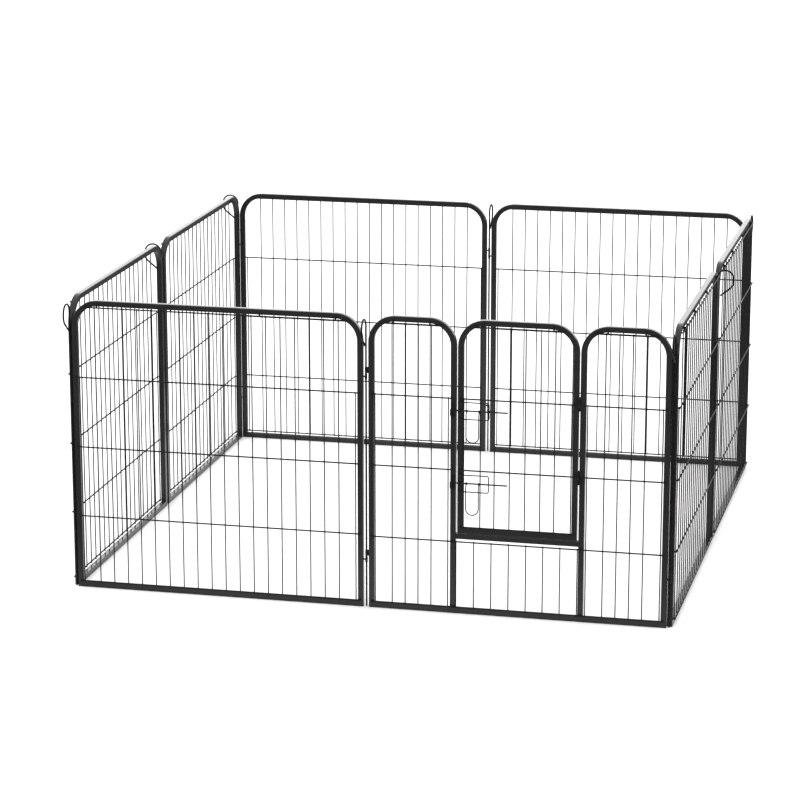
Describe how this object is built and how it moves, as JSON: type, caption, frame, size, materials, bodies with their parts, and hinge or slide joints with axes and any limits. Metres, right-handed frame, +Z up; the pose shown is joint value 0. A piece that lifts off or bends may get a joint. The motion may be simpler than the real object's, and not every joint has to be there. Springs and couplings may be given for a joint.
{
  "type": "panel pet playpen",
  "caption": "Square free-standing pet pen of tube-framed wire panels hinged on lift-out rods, with a raised hinged door in one panel closed by two slide bolts.",
  "frame": {"origin": "on the floor at the middle of the square pen", "axes": "+X to the right along the front, -Y out of the front where the gate panel is, +Z up"},
  "size_m": [1.731, 1.731, 0.8],
  "materials": {
    "tube_coat": "gloss black powder coat",
    "wire_coat": "gloss black powder coat",
    "fitting_coat": "gloss black powder coat",
    "rod_coat": "gloss black powder coat"
  },
  "bodies": {
    "gate_panel": {"gate_left_arch": "tube_coat", "gate_right_arch": "tube_coat", "gate_base_rail": "tube_coat", "gate_sill": "tube_coat", "gate_left_mesh": "wire_coat", "gate_right_mesh": "wire_coat", "gate_lower_mesh": "wire_coat", "gate_eyes": "fitting_coat", "door_hinge_post_knuckles": "fitting_coat", "lower_bolt_keeper": "fitting_coat", "upper_bolt_keeper": "fitting_coat"},
    "front_left_panel": {"front_left_frame": "tube_coat", "front_left_mesh": "wire_coat", "front_left_eyes": "fitting_coat"},
    "right_front_panel": {"right_front_frame": "tube_coat", "right_front_mesh": "wire_coat", "right_front_eyes": "fitting_coat"},
    "right_back_panel": {"right_back_frame": "tube_coat", "right_back_mesh": "wire_coat", "right_back_eyes": "fitting_coat"},
    "back_right_panel": {"back_right_frame": "tube_coat", "back_right_mesh": "wire_coat", "back_right_eyes": "fitting_coat"},
    "back_left_panel": {"back_left_frame": "tube_coat", "back_left_mesh": "wire_coat", "back_left_eyes": "fitting_coat"},
    "left_back_panel": {"left_back_frame": "tube_coat", "left_back_mesh": "wire_coat", "left_back_eyes": "fitting_coat"},
    "left_front_panel": {"left_front_frame": "tube_coat", "left_front_mesh": "wire_coat", "left_front_eyes": "fitting_coat"},
    "door": {"door_frame": "tube_coat", "door_mesh": "wire_coat", "door_hinge_door_knuckles": "fitting_coat", "lower_bolt_guard": "fitting_coat", "upper_bolt_guard": "fitting_coat", "lower_bolt_guide": "fitting_coat", "upper_bolt_guide": "fitting_coat"},
    "lower_bolt": {"lower_bolt": "fitting_coat"},
    "lower_grip": {"lower_bolt_grip": "fitting_coat"},
    "upper_bolt": {"upper_bolt": "fitting_coat"},
    "upper_grip": {"upper_bolt_grip": "fitting_coat"},
    "rod_front_middle": {"rod_front_middle": "rod_coat"},
    "rod_front_left_corner": {"rod_front_left_corner": "rod_coat"},
    "rod_left_middle": {"rod_left_middle": "rod_coat"},
    "rod_back_left_corner": {"rod_back_left_corner": "rod_coat"},
    "rod_back_middle": {"rod_back_middle": "rod_coat"},
    "rod_back_right_corner": {"rod_back_right_corner": "rod_coat"},
    "rod_right_middle": {"rod_right_middle": "rod_coat"},
    "rod_front_right_corner": {"rod_front_right_corner": "rod_coat"}
  },
  "joints": [
    {"name": "front_middle_fold", "type": "hinge", "parent": "gate_panel", "child": "front_left_panel", "pos_m": [0, -0.815, 0.39], "axis": [0, 0, -1], "range_deg": [0, 90]},
    {"name": "front_left_corner_fold", "type": "hinge", "parent": "front_left_panel", "child": "left_front_panel", "pos_m": [-0.815, -0.815, 0.39], "axis": [0, 0, 1], "range_deg": [0, 90]},
    {"name": "left_middle_fold", "type": "hinge", "parent": "left_front_panel", "child": "left_back_panel", "pos_m": [-0.815, 0, 0.39], "axis": [0, 0, -1], "range_deg": [0, 90]},
    {"name": "back_left_corner_fold", "type": "hinge", "parent": "left_back_panel", "child": "back_left_panel", "pos_m": [-0.815, 0.815, 0.39], "axis": [0, 0, 1], "range_deg": [0, 90]},
    {"name": "back_middle_fold", "type": "hinge", "parent": "back_left_panel", "child": "back_right_panel", "pos_m": [0, 0.815, 0.39], "axis": [0, 0, -1], "range_deg": [0, 90]},
    {"name": "back_right_corner_fold", "type": "hinge", "parent": "back_right_panel", "child": "right_back_panel", "pos_m": [0.815, 0.815, 0.39], "axis": [0, 0, 1], "range_deg": [0, 90]},
    {"name": "right_middle_fold", "type": "hinge", "parent": "right_back_panel", "child": "right_front_panel", "pos_m": [0.815, 0, 0.39], "axis": [0, 0, -1], "range_deg": [0, 90]},
    {"name": "door_swing", "type": "hinge", "parent": "gate_panel", "child": "door", "pos_m": [0.5695, -0.8249, 0.4924], "axis": [0, 0, 1], "range_deg": [0, 110]},
    {"name": "lower_bolt_slide", "type": "slide", "parent": "door", "child": "lower_bolt", "axis": [1, 0, 0], "range_m": [-0.007, 0.01]},
    {"name": "lower_grip_lift", "type": "hinge", "parent": "lower_bolt", "child": "lower_grip", "pos_m": [0.29015, -0.829, 0.3616], "axis": [-1, 0, 0], "range_deg": [0, 90]},
    {"name": "upper_bolt_slide", "type": "slide", "parent": "door", "child": "upper_bolt", "axis": [1, 0, 0], "range_m": [-0.007, 0.01]},
    {"name": "upper_grip_lift", "type": "hinge", "parent": "upper_bolt", "child": "upper_grip", "pos_m": [0.29015, -0.829, 0.558], "axis": [-1, 0, 0], "range_deg": [0, 90]},
    {"name": "front_middle_rod_lift", "type": "slide", "parent": "gate_panel", "child": "rod_front_middle", "axis": [0, 0, 1], "range_m": [0, 0.66]},
    {"name": "front_left_corner_rod_lift", "type": "slide", "parent": "front_left_panel", "child": "rod_front_left_corner", "axis": [0, 0, 1], "range_m": [0, 0.66]},
    {"name": "left_middle_rod_lift", "type": "slide", "parent": "left_front_panel", "child": "rod_left_middle", "axis": [0, 0, 1], "range_m": [0, 0.66]},
    {"name": "back_left_corner_rod_lift", "type": "slide", "parent": "left_back_panel", "child": "rod_back_left_corner", "axis": [0, 0, 1], "range_m": [0, 0.66]},
    {"name": "back_middle_rod_lift", "type": "slide", "parent": "back_left_panel", "child": "rod_back_middle", "axis": [0, 0, 1], "range_m": [0, 0.66]},
    {"name": "back_right_corner_rod_lift", "type": "slide", "parent": "back_right_panel", "child": "rod_back_right_corner", "axis": [0, 0, 1], "range_m": [0, 0.66]},
    {"name": "right_middle_rod_lift", "type": "slide", "parent": "right_back_panel", "child": "rod_right_middle", "axis": [0, 0, 1], "range_m": [0, 0.66]},
    {"name": "front_right_corner_rod_lift", "type": "slide", "parent": "gate_panel", "child": "rod_front_right_corner", "axis": [0, 0, 1], "range_m": [0, 0.66]}
  ],
  "couplings": [
    {"joint": "front_left_corner_fold", "follows": "front_middle_fold", "ratio": 1},
    {"joint": "left_middle_fold", "follows": "front_middle_fold", "ratio": 1},
    {"joint": "back_left_corner_fold", "follows": "front_middle_fold", "ratio": 1},
    {"joint": "back_middle_fold", "follows": "front_middle_fold", "ratio": 1},
    {"joint": "back_right_corner_fold", "follows": "front_middle_fold", "ratio": 1},
    {"joint": "right_middle_fold", "follows": "front_middle_fold", "ratio": 1}
  ]
}
